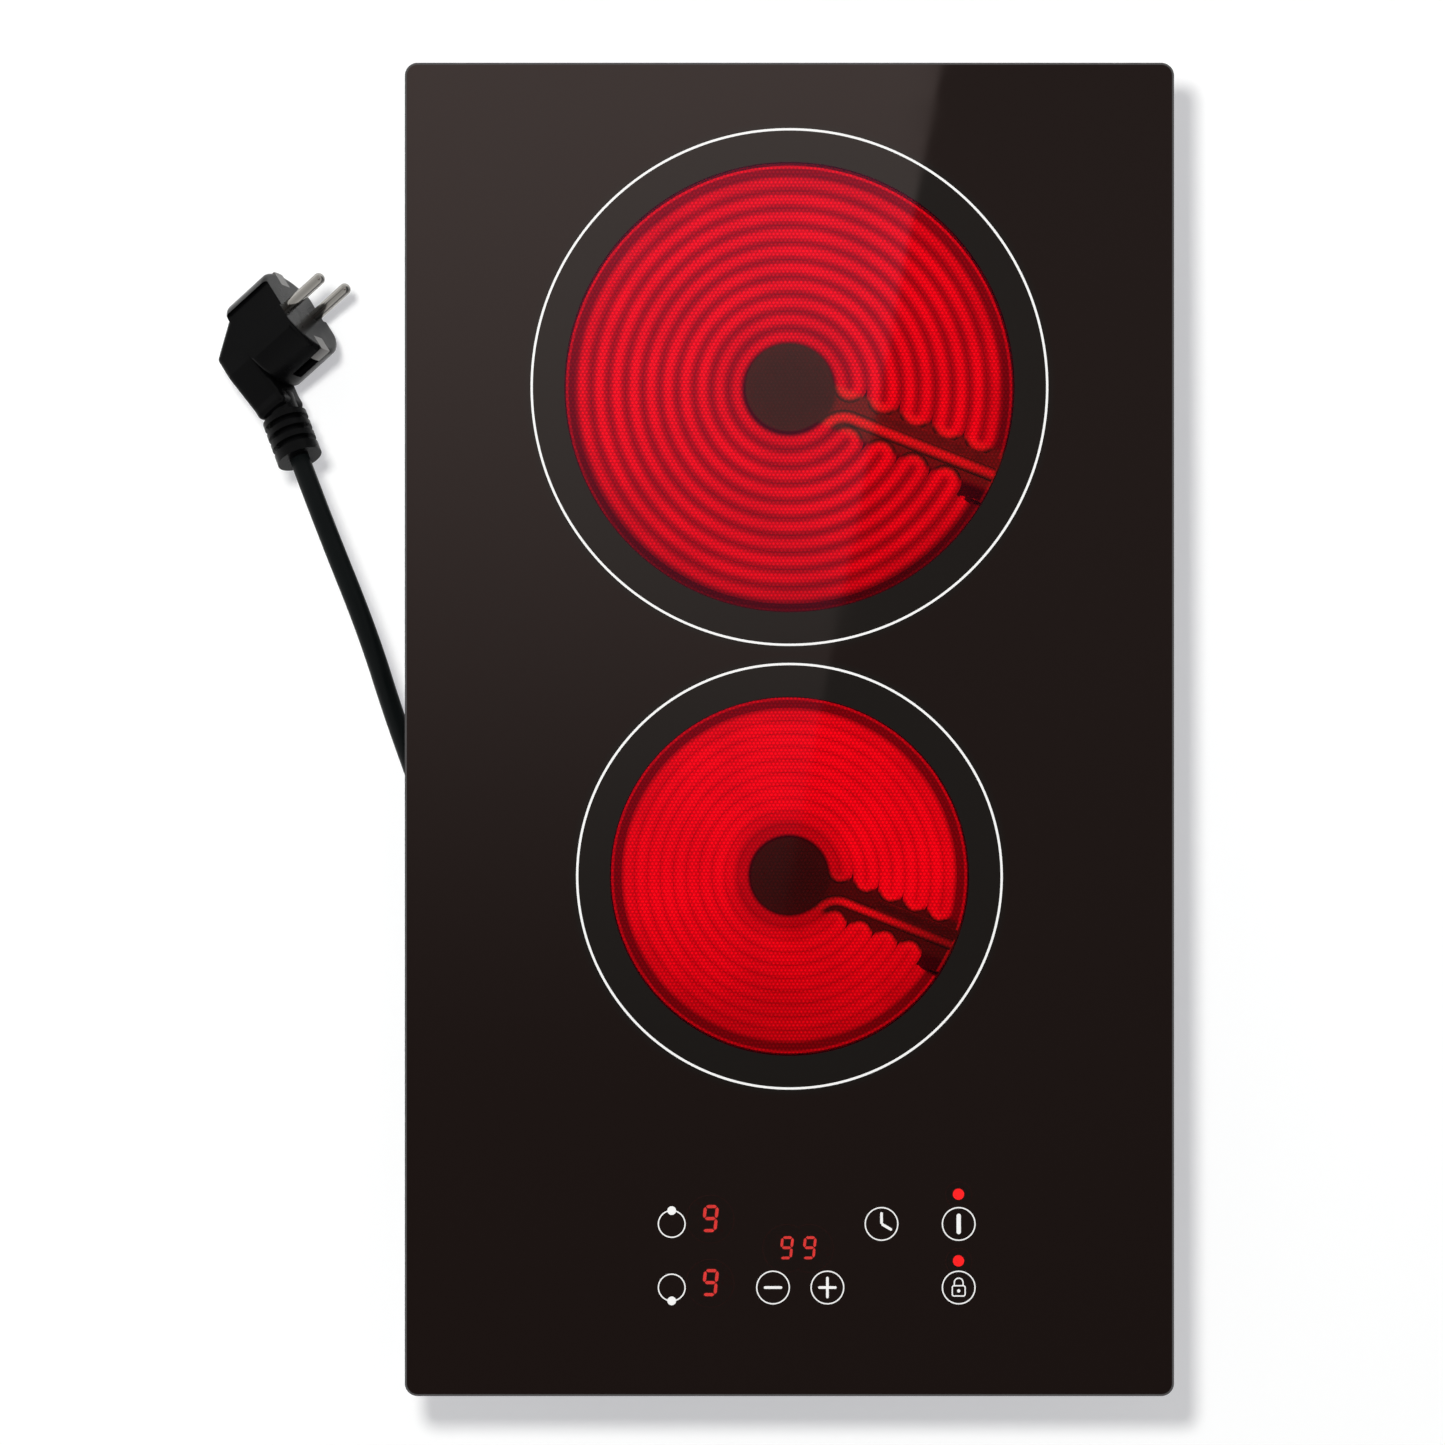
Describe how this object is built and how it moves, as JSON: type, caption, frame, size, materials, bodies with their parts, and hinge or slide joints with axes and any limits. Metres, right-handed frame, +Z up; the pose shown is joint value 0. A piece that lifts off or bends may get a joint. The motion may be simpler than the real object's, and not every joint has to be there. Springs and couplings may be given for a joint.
{
  "type": "hot plate burner",
  "caption": "Built-in or free-standing ceramic hob: a dark glass top over round radiant heaters of different sizes, touch controls at the front edge and a corded angled plug.",
  "frame": {"origin": "on the floor under the middle of the glass, where the feet stand", "axes": "+X to the right, +Y to the rear, away from the controls, +Z up"},
  "size_m": [0.3748, 0.52, 0.06],
  "materials": {
    "ceramic_glass": "polished dark glass ceramic",
    "silicone": "matte bead",
    "foam_tape": "matte closed-cell foam",
    "pan_steel": "galvanised sheet",
    "foot_rubber": "matte",
    "zinc_steel": "zinc plated",
    "spring_steel": "rolled",
    "dish_steel": "aluminised sheet",
    "insulation": "matte pressed fibre",
    "heating_alloy": "glowing corrugated ribbon",
    "limiter_ceramic": "satin tube",
    "limiter_steel": "drawn",
    "steatite": "matte steatite",
    "contact_brass": "bright",
    "tray_plastic": "heat-resistant moulding",
    "board_laminate": "solder resist",
    "pad_rubber": "conductive foam",
    "display_red": "smoked lens",
    "lamp_red": "clear red lens",
    "relay_plastic": "moulded",
    "transformer_case": "varnished laminations",
    "capacitor_can": "sleeved can",
    "ribbon_cable_grey": "flat cable",
    "terminal_plastic": "moulded",
    "wire_insulation": "silicone sleeve",
    "gland_plastic": "moulded",
    "cord_rubber": "smooth sheath",
    "plug_plastic": "moulded",
    "plug_pin_metal": "nickel plated",
    "plug_clip_metal": "nickel plated",
    "clamp_steel": "zinc plated"
  },
  "bodies": {
    "casing": {"base_pan": "pan_steel", "board_screws": "zinc_steel", "board_standoffs": "contact_brass", "capacitor": "capacitor_can", "clamp_screws": "zinc_steel", "control_tray": "tray_plastic", "cord_gland": "gland_plastic", "earth_screw": "zinc_steel", "feed_pins": "contact_brass", "foot_screws": "zinc_steel", "gland_nut": "gland_plastic", "glass_bond": "silicone", "glass_top": "ceramic_glass", "heat_shield": "pan_steel", "heater_springs": "spring_steel", "indicator_lamps": "lamp_red", "large_heater_dish": "dish_steel", "large_heater_wires": "wire_insulation", "large_heating_ribbon": "heating_alloy", "large_insulation_base": "insulation", "large_insulation_ring": "insulation", "large_limiter_housing": "steatite", "large_limiter_tube": "limiter_ceramic", "large_terminal_block": "steatite", "mains_terminal_block": "terminal_plastic", "pan_rivets": "zinc_steel", "plug_body": "plug_plastic", "plug_earth_clips": "plug_clip_metal", "plug_pins": "plug_pin_metal", "plug_strain_relief": "plug_plastic", "power_board": "board_laminate", "power_cord": "cord_rubber", "relays": "relay_plastic", "ribbon_cable": "ribbon_cable_grey", "rubber_feet": "foot_rubber", "small_heater_dish": "dish_steel", "small_heater_wires": "wire_insulation", "small_heating_ribbon": "heating_alloy", "small_insulation_base": "insulation", "small_insulation_ring": "insulation", "small_limiter_housing": "steatite", "small_limiter_tube": "limiter_ceramic", "small_terminal_block": "steatite", "supply_wires": "wire_insulation", "terminal_tabs": "contact_brass", "timer_display": "display_red", "touch_board": "board_laminate", "touch_pads": "pad_rubber", "transformer": "transformer_case", "tray_screws": "zinc_steel", "worktop_seal": "foam_tape", "zone_displays": "display_red"},
    "clamp_front_left": {"clamp_arm_front_left": "clamp_steel"},
    "clamp_front_right": {"clamp_arm_front_right": "clamp_steel"},
    "clamp_rear_left": {"clamp_arm_rear_left": "clamp_steel"},
    "clamp_rear_right": {"clamp_arm_rear_right": "clamp_steel"},
    "large_limiter": {"large_limiter_rod": "limiter_steel"},
    "small_limiter": {"small_limiter_rod": "limiter_steel"}
  },
  "joints": [
    {"name": "clamp_front_left_swing", "type": "hinge", "parent": "casing", "child": "clamp_front_left", "pos_m": [-0.078, -0.226, 0.0245], "axis": [0, 0, 1], "range_deg": [0, 90]},
    {"name": "clamp_front_right_swing", "type": "hinge", "parent": "casing", "child": "clamp_front_right", "pos_m": [0.078, -0.226, 0.0245], "axis": [0, 0, -1], "range_deg": [0, 90]},
    {"name": "clamp_rear_left_swing", "type": "hinge", "parent": "casing", "child": "clamp_rear_left", "pos_m": [-0.078, 0.226, 0.0245], "axis": [0, 0, -1], "range_deg": [0, 90]},
    {"name": "clamp_rear_right_swing", "type": "hinge", "parent": "casing", "child": "clamp_rear_right", "pos_m": [0.078, 0.226, 0.0245], "axis": [0, 0, 1], "range_deg": [0, 90]},
    {"name": "large_limiter_travel", "type": "slide", "parent": "casing", "child": "large_limiter", "axis": [0.9298, -0.3681, 0], "range_m": [0, 0.0008]},
    {"name": "small_limiter_travel", "type": "slide", "parent": "casing", "child": "small_limiter", "axis": [0.9298, -0.3681, 0], "range_m": [0, 0.0008]}
  ]
}
